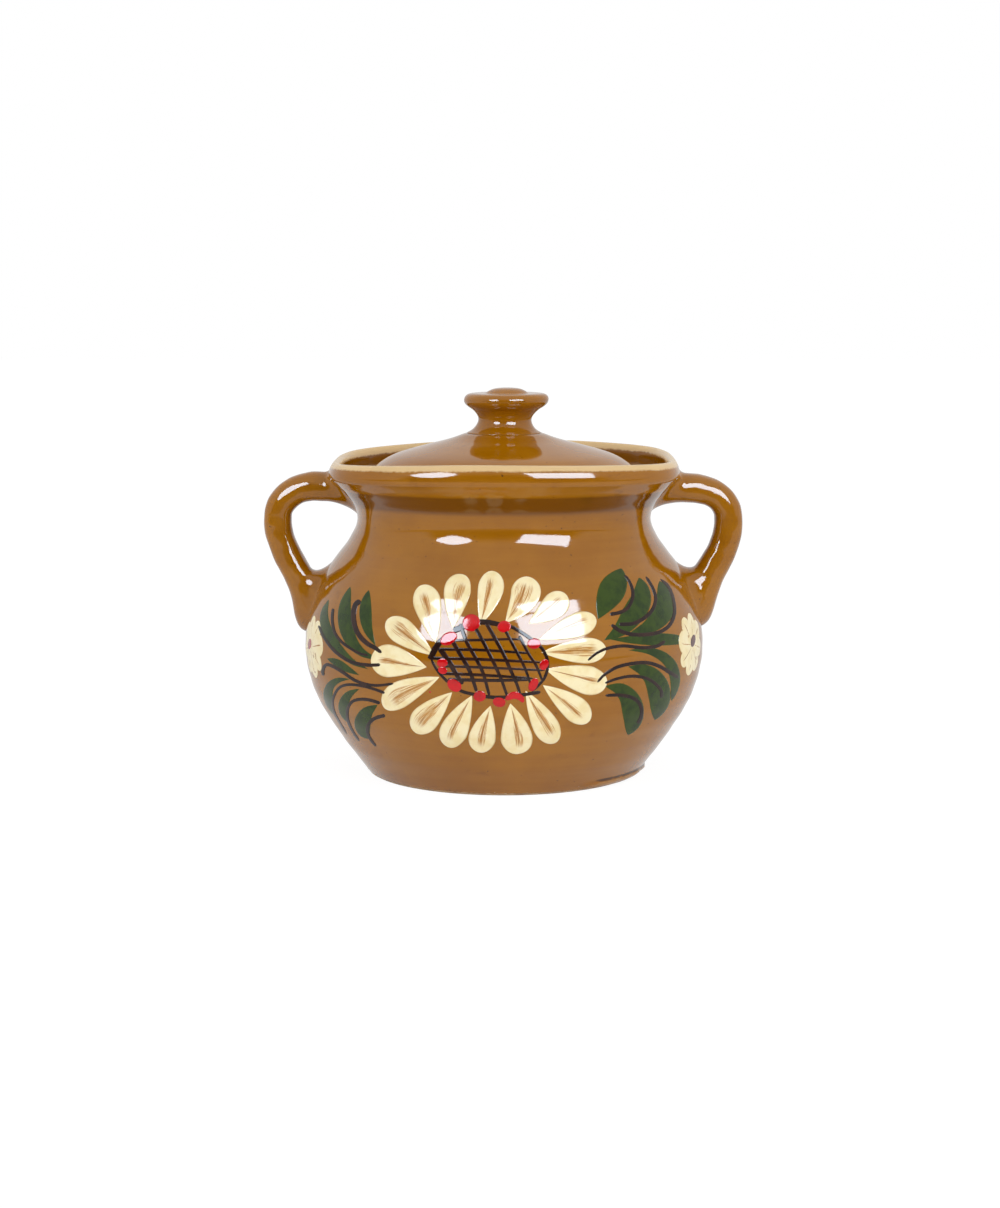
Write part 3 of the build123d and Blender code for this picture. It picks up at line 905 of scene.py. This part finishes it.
def sideFlowerStrokes(shape):
    form = sideFlowerForm
    cream, marks, eye = newStrokes("sidePetals"), newStrokes("sideMarks"), newStrokes("sideEye")
    for lobe in range(shape["lobes"]):
        angle = radians(shape["turn"] + 360 * lobe / shape["lobes"])
        out = (cos(angle) * form["across"] / 2, sin(angle) * form["tall"] / 2)
        shares = (1, form["lobeMiddle"], -form["lobeOverlap"])
        lobePlaces = [(out[0] * share, out[1] * share) for share in shares]
        lobeWide = form["lobeWidth"] * (1 + form["lobeSwing"] * sin(3 * angle))
        addStroke(cream.data, lobePlaces, lobeWide, petalBreadth)
    heartWide, heartTall = [form["across"] * share for share in form["heart"]]
    addStroke(cream.data, dotPlaces((0, 0), heartTall, 90), heartWide, dotBreadth)
    for mark in shape["marks"]:
        addStroke(marks.data, mark, form["markWidth"], leafBreadth, 24)
    eyePlaces = dotPlaces(shape["eye"], form["eyeLength"], form["eyeTurn"])
    addStroke(eye.data, eyePlaces, form["eyeWidth"], dotBreadth, 22)
    return cream, marks, eye


# Crumbs of bare clay round the foot

crumbForm = {"size": (0.16, 0.5), "density": 26000.0, "seed": 21, "bottom": 0.9, "top": 2.6,
             "lumpSize": 1.4, "lumpHeight": 1.1}


def crumbTree():
    tree, given = startTree("clay crumbs", Pot="object", Density="number", Bottom="number", Top="number",
                            Small="number", Large="number", Seed="count", Clay="material")
    height = split(tree, positionOf(tree))["Z"]
    low = calc(tree, "LESS_THAN", height, given["Top"])
    raised = calc(tree, "GREATER_THAN", height, given["Bottom"])
    spread = addNode(tree, "GeometryNodeDistributePointsOnFaces")
    fill(tree, spread, Mesh=geometryOf(tree, given["Pot"]), Density=given["Density"], Seed=given["Seed"])
    put(tree, spread.inputs["Selection"], times(tree, low, raised))
    ball = fill(tree, addNode(tree, "GeometryNodeMeshIcoSphere"), Radius=1.0, Subdivisions=1)
    rough = addNode(tree, "GeometryNodeSetPosition")
    spot = positionOf(tree)
    lump = minus(tree, noiseOf(tree, spot, crumbForm["lumpSize"], 2.0), 0.5)
    outward = calcVector(tree, "SCALE", spot, scale=times(tree, lump, crumbForm["lumpHeight"]))
    fill(tree, rough, Geometry=ball.outputs[0], Offset=outward)
    scatter = fill(tree, addNode(tree, "GeometryNodeInstanceOnPoints"), Points=spread.outputs["Points"],
                   Instance=rough.outputs[0], Rotation=spread.outputs["Rotation"])
    size = addNode(tree, "FunctionNodeRandomValue", data_type="FLOAT")
    put(tree, size.inputs[2], given["Small"])
    put(tree, size.inputs[3], given["Large"])
    put(tree, size.inputs["Seed"], given["Seed"])
    put(tree, scatter.inputs["Scale"], size.outputs[1])
    endTree(tree, scatter.outputs[0], given["Clay"])
    return tree


# Materials

def newMaterial(name):
    material = bpy.data.materials.new(name)
    material.use_nodes = True
    tree = material.node_tree
    shader = tree.nodes["Principled BSDF"]
    place = addNode(tree, "ShaderNodeTexCoord").outputs["Object"]
    return material, tree, shader, place


def stretched(tree, place, across, up, shift=0.0):
    node = addNode(tree, "ShaderNodeMapping")
    put(tree, node.inputs["Vector"], place)
    node.inputs["Scale"].default_value = (across, across, up)
    node.inputs["Location"].default_value = (shift, shift * 0.7, shift * 0.3)
    return node.outputs[0]


def readLayer(tree, name):
    node = addNode(tree, "ShaderNodeAttribute")
    node.attribute_name = name
    return node.outputs["Fac"]


def addBump(tree, shader, height, distance, strength):
    bump = addNode(tree, "ShaderNodeBump")
    bump.inputs["Distance"].default_value = distance
    bump.inputs["Strength"].default_value = strength
    put(tree, bump.inputs["Height"], height)
    put(tree, shader.inputs["Normal"], bump.outputs[0])


glazeLook = {
    # pool is the colour of the glaze's own dark pools, and also of the painted shade under the collar and inside the
    # pot
    "deep": tint(148, 92, 0), "honey": tint(160, 103, 8), "poolAndShade": tint(108, 62, 0),
    # speck is the colour of the dark specks, and also of the painted shade in the crease above the burr
    "speckAndShade": tint(52, 28, 14),
    "worn": tint(232, 200, 146), "bare": tint(190, 158, 118), "ledge": tint(176, 128, 72),
    "ior": 1.54, "rough": (0.055, 0.11),
    # mottling: a pattern's scale, where it sets in and how much of it there is
    "cloudScale": 26, "cloudShare": 0.6, "bandStretch": (5, 110), "bandShare": 0.4,
    "honeyFrom": (0.36, 0.64), "grainScale": 420,
    "poolScale": 60, "poolFrom": (0.60, 0.78), "poolShare": 0.5,
    "speckScale": 520, "speckFrom": (0.735, 0.775), "speckShare": 0.75,
    # levels of the pot: how frayed by grain and by clouds, where each sets in and how much of it there is
    "shadeFray": (0.0, 0.5), "shadeFrom": (0.15, 0.95), "shadeShare": 0.9,
    "ledgeFray": (0.6, 0.0), "ledgeFrom": (0.4, 0.7), "ledgeShare": 0.7,
    "creaseShadeFrom": (0.25, 0.7), "creaseShadeShare": 0.85,
    "wornFray": (0.16, 0.3), "wornFrom": (0.4, 0.56), "wornShare": 0.86, "wornRough": 0.13,
    "bareFray": (0.9, 0.0), "bareFrom": (0.42, 0.62), "bareRough": 0.62,
    "darkBare": tint(150, 112, 78), "bareScale": 160,      # the bare foot's other colour and its pattern
    # fine relief
    "rippleStretch": (14, 150), "rippleHeight": 0.6, "peelScale": 230, "peelHeight": 0.22,
    "grainHeight": 2.5, "bumpDepth": 0.12,                 # mm
}


def glazeMaterial(name, shift):
    look = glazeLook
    material, tree, shader, place = newMaterial(name)
    clouds = noiseOf(tree, stretched(tree, place, 1, 1, shift), look["cloudScale"], 4, 0.55)
    bands = noiseOf(tree, stretched(tree, place, *look["bandStretch"], shift), 1.6, 3, 0.6)
    grain = noiseOf(tree, place, look["grainScale"], 3, 0.6)
    cloudSwing, grainSwing = [minus(tree, value, 0.5) for value in (clouds, grain)]

    def frayed(layer, byGrain, byClouds):
        # a layer's value with an uneven edge
        value = plus(tree, readLayer(tree, layer), times(tree, grainSwing, byGrain))
        return plus(tree, value, times(tree, cloudSwing, byClouds))

    mixed = plus(tree, times(tree, clouds, look["cloudShare"]), times(tree, bands, look["bandShare"]))
    colour = blendColours(tree, ramp(tree, mixed, *look["honeyFrom"]), look["deep"], look["honey"])
    pools = noiseOf(tree, stretched(tree, place, 1, 1.6, shift + 3), look["poolScale"], 5, 0.62)
    pools = ramp(tree, pools, *look["poolFrom"], 0.0, look["poolShare"])
    colour = blendColours(tree, pools, colour, look["poolAndShade"])
    specks = noiseOf(tree, stretched(tree, place, 1, 1, shift + 7), look["speckScale"], 1.5, 0.5)
    specks = ramp(tree, specks, *look["speckFrom"], 0.0, look["speckShare"])
    colour = blendColours(tree, specks, colour, look["speckAndShade"])
    # painted shade: darker inside the pot and in the hollow under the collar, where shade and dark reflections fall
    shadeMask = frayed("pooled", *look["shadeFray"])
    shadeMask = ramp(tree, shadeMask, *look["shadeFrom"], 0.0, look["shadeShare"])
    colour = blendColours(tree, shadeMask, colour, look["poolAndShade"])
    ledge = ramp(tree, frayed("ledge", *look["ledgeFray"]), *look["ledgeFrom"], 0.0, look["ledgeShare"])
    colour = blendColours(tree, ledge, colour, look["ledge"])
    # painted shade in the crease above the burr
    crease = ramp(tree, readLayer(tree, "crease"), *look["creaseShadeFrom"], 0.0, look["creaseShadeShare"])
    colour = blendColours(tree, crease, colour, look["speckAndShade"])
    worn = ramp(tree, frayed("worn", *look["wornFray"]), *look["wornFrom"])
    colour = blendColours(tree, times(tree, worn, look["wornShare"]), colour, look["worn"])
    bare = ramp(tree, frayed("bare", *look["bareFray"]), *look["bareFrom"])
    clayPattern = ramp(tree, noiseOf(tree, place, look["bareScale"], 4, 0.6), 0.35, 0.7)
    clayColour = blendColours(tree, clayPattern, look["bare"], look["darkBare"])
    put(tree, shader.inputs["Base Color"], blendColours(tree, bare, colour, clayColour))
    gloss = ramp(tree, noiseOf(tree, place, 75, 3, 0.6), 0.35, 0.75, *look["rough"])
    gloss = plus(tree, gloss, times(tree, worn, look["wornRough"]))
    put(tree, shader.inputs["Roughness"], plus(tree, gloss, times(tree, bare, look["bareRough"])))
    shader.inputs["IOR"].default_value = look["ior"]
    ripple = noiseOf(tree, stretched(tree, place, *look["rippleStretch"], shift), 1.5, 2, 0.5)
    peel = noiseOf(tree, place, look["peelScale"], 2, 0.5)
    relief = plus(tree, times(tree, ripple, look["rippleHeight"]), times(tree, peel, look["peelHeight"]))
    relief = plus(tree, relief, times(tree, times(tree, grain, bare), look["grainHeight"]))
    addBump(tree, shader, relief, look["bumpDepth"] * mm, 0.8)
    return material


slipLooks = {
    "cream": {"main": tint(252, 238, 194), "other": tint(244, 224, 168), "edge": tint(206, 168, 98),
              "streak": tint(188, 124, 36), "hair": tint(158, 98, 26)},
    "green": {"main": tint(48, 68, 8), "other": tint(32, 52, 8), "edge": tint(84, 88, 12), "shine": 0.3},
    "dark": {"main": tint(32, 16, 12), "other": tint(50, 28, 20), "edge": tint(70, 40, 16), "shine": 0.32},
    "red": {"main": tint(204, 0, 10), "other": tint(176, 4, 10), "edge": tint(150, 10, 8)},
    "rose": {"main": tint(176, 66, 60), "other": tint(140, 54, 48), "edge": tint(196, 130, 96)},
    "plum": {"main": tint(98, 48, 50), "other": tint(70, 34, 34), "edge": tint(150, 104, 76)},
    "umber": {"main": tint(158, 104, 50), "other": tint(186, 140, 84), "edge": tint(214, 180, 122)},
}


# widths in shares of a petal's half width, places in shares of its length from the outer end
streakForm = {
    "sway": 0.3, "bend": 0.5, "bendScale": 26,
    "half": (0.62, 0.08),                 # for each unit of the brush's streaking, and at the least
    "narrowing": (0.2, 0.95, 1.0, 0.45), "start": (0.1, 0.26), "stop": (0.98, 0.78),
    "stretch": (15.0, 1.7, 40.0),         # the bristles' marks run along the petal
    "coreShare": 0.42, "bristleShare": 3.0, "patchFrom": (0.0, 0.3), "coreFrom": (0.0, 0.2),
    "waver": 0.22, "waverScale": 60, "hair": (0.075, 0.03), "broken": (0.36, 0.5),
    "patchStrength": 0.88, "hairStrength": 0.8,
}


def streaks(tree, place):
    # where the brush dragged the slip thin along a petal's middle, the golden glaze shows through
    form = streakForm
    layers = [readLayer(tree, name) for name in ("across", "along", "brush", "chance")]
    across, along, brush, chance = layers
    bend = times(tree, minus(tree, noiseOf(tree, place, form["bendScale"], 1), 0.5), form["bend"])
    middle = plus(tree, times(tree, minus(tree, chance, 0.5), form["sway"]), bend)
    aside = calc(tree, "ABSOLUTE", minus(tree, across, middle))
    byBrush, least = form["half"]
    half = plus(tree, times(tree, brush, byBrush), least)
    half = times(tree, half, ramp(tree, along, *form["narrowing"]))
    core = minus(tree, 1.0, calc(tree, "DIVIDE", aside, half))
    path = join(tree, *[times(tree, layer, stretch)
                        for layer, stretch in zip((across, along, chance), form["stretch"])])
    bristles = minus(tree, noiseOf(tree, path, 1.3, 3, 0.65), 0.5)
    patch = plus(tree, times(tree, core, form["coreShare"]), times(tree, bristles, form["bristleShare"]))
    patch = times(tree, ramp(tree, patch, *form["patchFrom"]), ramp(tree, core, *form["coreFrom"]))
    reach = times(tree, ramp(tree, along, *form["start"]), ramp(tree, along, *form["stop"]))
    # one or two bristles left a fine dark hairline
    waver = times(tree, minus(tree, noiseOf(tree, place, form["waverScale"], 2), 0.5), form["waver"])
    hair = calc(tree, "ABSOLUTE", minus(tree, minus(tree, across, middle), waver))
    broken = ramp(tree, noiseOf(tree, path, 0.9, 2), *form["broken"])
    hair = times(tree, times(tree, ramp(tree, hair, *form["hair"]), reach), broken)
    dragged = times(tree, times(tree, patch, reach), form["patchStrength"])
    return dragged, times(tree, hair, form["hairStrength"])


slipForm = {
    "cloudScale": 130, "otherFrom": (0.38, 0.68),
    "edgeFray": 0.12, "edgeFrom": (0.93, 1.06), "edgeShare": 0.55,
    "glossScale": 90, "rough": (0.06, 0.13), "shine": 0.5,
    "peelScale": 260, "bumpDepth": 0.05,     # mm
}


def slipMaterial(name, look, streaked=False):
    form = slipForm
    material, tree, shader, place = newMaterial(name)
    across = calc(tree, "ABSOLUTE", readLayer(tree, "across"))
    clouds = noiseOf(tree, place, form["cloudScale"], 4, 0.6)
    colour = blendColours(tree, ramp(tree, clouds, *form["otherFrom"]), look["main"], look["other"])
    # the slip is thin at its edge
    thin = plus(tree, across, times(tree, clouds, form["edgeFray"]))
    thin = ramp(tree, thin, *form["edgeFrom"], 0.0, form["edgeShare"])
    colour = blendColours(tree, thin, colour, look["edge"])
    if streaked:
        dragged, hairline = streaks(tree, place)
        colour = blendColours(tree, dragged, colour, look["streak"])
        colour = blendColours(tree, hairline, colour, look["hair"])
    put(tree, shader.inputs["Base Color"], colour)
    roughness = ramp(tree, noiseOf(tree, place, form["glossScale"], 3, 0.6), 0.3, 0.75, *form["rough"])
    put(tree, shader.inputs["Roughness"], roughness)
    shader.inputs["IOR"].default_value = glazeLook["ior"]
    shader.inputs["Specular IOR Level"].default_value = look.get("shine", form["shine"])
    addBump(tree, shader, noiseOf(tree, place, form["peelScale"], 2, 0.5), form["bumpDepth"] * mm, 0.5)
    return material


clayLook = {
    "pale": tint(214, 186, 150), "dark": tint(158, 118, 80), "cloudScale": 240, "rough": (0.7, 0.92),
    "grainScale": 1500, "bumpDepth": 0.1,     # mm
}


def clayMaterial(name):
    material, tree, shader, place = newMaterial(name)
    clouds = noiseOf(tree, place, clayLook["cloudScale"], 5, 0.65)
    colour = blendColours(tree, ramp(tree, clouds, 0.35, 0.7), clayLook["pale"], clayLook["dark"])
    put(tree, shader.inputs["Base Color"], colour)
    put(tree, shader.inputs["Roughness"], ramp(tree, clouds, 0.3, 0.7, *clayLook["rough"]))
    grain = noiseOf(tree, place, clayLook["grainScale"], 4, 0.7)
    addBump(tree, shader, grain, clayLook["bumpDepth"] * mm, 0.8)
    return material


# The studio

studio = {
    "leftLamp": {"bearing": -36, "height": 26, "size": (540, 560), "shape": "ELLIPSE"},
    "rightLamp": {"bearing": 28.5, "height": 26, "size": (760, 560), "shape": "RECTANGLE"},
    "away": 1200, "aim": (0, 0, 110),
    "shine": 17.0, "fill": 4.4,           # the lamps' brightness as mirrored, and as light
    "coolness": (0.74, 0.87, 1.0),        # the mirrored lamps are a little blue
    "sky": 0.7, "mirroredSky": 0.78, "darkFront": 0.05,
    "darkAhead": (-0.66, -0.5), "darkUpTo": (0.28, 0.74),     # how far the dark part of the room reaches
    "tableEdge": -0.72, "edgeBlur": 0.12, "floorHalf": 6.0,     # metres
    "floorGlow": 1.08, "floorShare": 0.87,
}


def makeCamera():
    camera = newObject("camera", bpy.data.cameras.new("camera"))
    camera.location = Vector(easel["eye"]) * mm
    camera.rotation_euler = (radians(90 - easel["pitch"]), 0, 0)
    camera.data.sensor_width = 36
    camera.data.lens = easel["reach"] / easel["pixel"] * camera.data.sensor_width / easel["longSide"]
    bpy.context.scene.camera = camera


def makeLamp(name, brightness, mirrored):
    # a soft box; one of each pair is only mirrored by the gloss, the other only lights the clay
    spec = studio[name]
    data = bpy.data.lights.new(name, "AREA")
    data.shape = spec["shape"]
    data.size, data.size_y = [side * mm for side in spec["size"]]
    area = data.size * data.size_y * (pi / 4 if spec["shape"] == "ELLIPSE" else 1)
    data.energy = brightness * pi * area
    if mirrored:
        data.color = studio["coolness"]
    lamp = newObject(name, data)
    bearing, height = radians(spec["bearing"]), radians(spec["height"])
    back = Vector((sin(bearing) * cos(height), -cos(bearing) * cos(height), sin(height)))
    lamp.location = (Vector(studio["aim"]) + back * studio["away"]) * mm
    lamp.rotation_euler = back.to_track_quat("Z", "Y").to_euler()
    lamp.visible_glossy = mirrored
    lamp.visible_diffuse = not mirrored


def makeSky():
    # plain white; only the part of the room round the lamps is dark where the gloss mirrors it
    world = bpy.data.worlds.new("sky")
    bpy.context.scene.world = world
    world.use_nodes = True
    tree = world.node_tree
    background = tree.nodes["Background"]
    path = addNode(tree, "ShaderNodeLightPath")
    direction = split(tree, addNode(tree, "ShaderNodeTexCoord").outputs["Generated"])
    frontal = ramp(tree, direction["Y"], *studio["darkAhead"], 1.0, 0.0)
    low = ramp(tree, direction["Z"], *studio["darkUpTo"], 1.0, 0.0)
    dark = times(tree, frontal, low)
    bright = studio["mirroredSky"]
    gloss = minus(tree, bright, times(tree, dark, bright - studio["darkFront"]))
    clear = calc(tree, "MAXIMUM", path.outputs["Is Camera Ray"], path.outputs["Is Transmission Ray"])
    mirrored = times(tree, path.outputs["Is Glossy Ray"], gloss)
    plain = minus(tree, 1.0, calc(tree, "MAXIMUM", path.outputs["Is Glossy Ray"], clear))
    plain = times(tree, plain, studio["sky"])
    strength = plus(tree, calc(tree, "MAXIMUM", clear, mirrored), plain)
    background.inputs["Color"].default_value = (1, 1, 1, 1)
    put(tree, background.inputs["Strength"], strength)


def makeFloor():
    half = studio["floorHalf"]
    mesh = bpy.data.meshes.new("floor")
    corners = [(-half, -half, 0), (half, -half, 0), (half, half, 0), (-half, half, 0)]
    mesh.from_pydata(corners, [], [(0, 1, 2, 3)])
    floor = newObject("floor", mesh)
    material = bpy.data.materials.new("whiteFloor")
    material.use_nodes = True
    tree = material.node_tree
    shader = tree.nodes["Principled BSDF"]
    shader.inputs["Base Color"].default_value = (0.85, 0.85, 0.85, 1)
    shader.inputs["Roughness"].default_value = 0.9
    shader.inputs["Specular IOR Level"].default_value = 0.1
    glow = addNode(tree, "ShaderNodeEmission")
    path = addNode(tree, "ShaderNodeLightPath")
    seen = calc(tree, "MAXIMUM", path.outputs["Is Camera Ray"], path.outputs["Is Glossy Ray"])
    seen = calc(tree, "MAXIMUM", seen, path.outputs["Is Transmission Ray"])
    mixer = addNode(tree, "ShaderNodeMixShader")
    # beyond the table's front edge the gloss mirrors a dark room
    spot = split(tree, addNode(tree, "ShaderNodeNewGeometry").outputs["Position"])
    edge, blur, mirrored = studio["tableEdge"], studio["edgeBlur"], path.outputs["Is Glossy Ray"]
    near = ramp(tree, spot["Y"], edge - blur, edge + blur, studio["darkFront"], studio["mirroredSky"])
    unmirrored = times(tree, minus(tree, 1.0, mirrored), studio["floorGlow"])
    strength = plus(tree, times(tree, mirrored, near), unmirrored)
    put(tree, glow.inputs["Strength"], strength)
    put(tree, mixer.inputs[0], times(tree, seen, studio["floorShare"]))
    put(tree, mixer.inputs[1], shader.outputs[0])
    put(tree, mixer.inputs[2], glow.outputs[0])
    tree.links.new(mixer.outputs[0], tree.nodes["Material Output"].inputs["Surface"])
    mesh.materials.append(material)


# Build

bpy.context.scene.view_settings.view_transform = "Standard"
makeCamera()
for lampName in ("leftLamp", "rightLamp"):
    makeLamp(lampName, studio["shine"], mirrored=True)
    makeLamp(lampName, studio["fill"], mirrored=False)
makeSky()
makeFloor()
print("studio ready")

potGlaze = glazeMaterial("amberGlaze", 0.0)
handleGlaze = glazeMaterial("handleGlaze", 1.7)
lidGlaze = glazeMaterial("lidGlaze", 4.1)
creamSlip = slipMaterial("creamSlip", slipLooks["cream"], streaked=True)
greenSlip = slipMaterial("greenSlip", slipLooks["green"])
darkSlip = slipMaterial("darkSlip", slipLooks["dark"])
redSlip = slipMaterial("redSlip", slipLooks["red"])
umberSlip = slipMaterial("umberSlip", slipLooks["umber"])
eyeSlips = {"leftFlower": slipMaterial("roseSlip", slipLooks["rose"]),
            "rightFlower": slipMaterial("plumSlip", slipLooks["plum"])}
bareClay = clayMaterial("bareClay")
print("materials ready")

turned = turnedTree()
pot, canvas = makePot(turned, potGlaze)
seat(pot, "pot", "amber_glaze", "pot_body")
lid = makeTurned("glazedLid", turned, lidShape, ("under", "edge", "top"), lidGlaze)
seat(lid, "lid", "lid_glaze", "lid_cover")
knob = makeTurned("turnedKnob", turned, knobShape, ("foot", "side", "crown"), lidGlaze, knobShape["lean"])
seat(knob, "lid", "lid_glaze", "lid_knob")

potSurface = BVHTree.FromObject(pot, bpy.context.evaluated_depsgraph_get())
for handleName, handleShape in handleShapes.items():
    handle = makeHandle(handleName, handleShape, potSurface, handleGlaze)
    seat(handle, "pot", "amber_glaze", handleShape["node"])

slip = slipTree()
darkRows = [(places, width * easel["swell"]) for places, width in brushLines] + lattice + eyeOutline
coats = [
    ("greenLeaves", frontStrokes("leaves", leaves, leafBreadth, 44), greenSlip, "green_slip", "green"),
    ("creamPetals", frontStrokes("petals", petals, petalBreadth, 44), creamSlip, "cream_slip", "cream"),
    ("darkLines", frontStrokes("lines", darkRows, brushBreadth, 64), darkSlip, "dark_slip", "dark"),
    ("redBerries", redStrokes(), redSlip, "red_slip", "red"),
]
for coatName, strokes, coatMaterial, slotName, coat in coats:
    seat(slipCoat(coatName, slip, strokes, canvas, coatMaterial, coat), "pot", slotName)
for flowerName, shape in sideFlowers.items():
    sheet = sheetAt(shape["bearing"], shape["height"])
    cream, marks, eye = sideFlowerStrokes(shape)
    flowerPetals = slipCoat(flowerName + "Petals", slip, cream, canvas, creamSlip, "cream", sheet)
    seat(flowerPetals, "pot", "cream_slip")
    flowerMarks = slipCoat(flowerName + "Marks", slip, marks, canvas, umberSlip, "mark", sheet)
    seat(flowerMarks, "pot", "cream_slip")
    flowerEye = slipCoat(flowerName + "Eye", slip, eye, canvas, eyeSlips[flowerName], "eye", sheet)
    seat(flowerEye, "pot", "red_slip")
bpy.data.objects.remove(canvas)

smallCrumb, largeCrumb = [size * mm for size in crumbForm["size"]]
crumbs = growPiece("clayCrumbs", crumbTree(), emptyHost(), Pot=pot, Density=crumbForm["density"],
                   Bottom=crumbForm["bottom"] * mm, Top=crumbForm["top"] * mm,
                   Small=smallCrumb, Large=largeCrumb, Seed=crumbForm["seed"], Clay=bareClay)
seat(crumbs, "pot", "raw_clay")
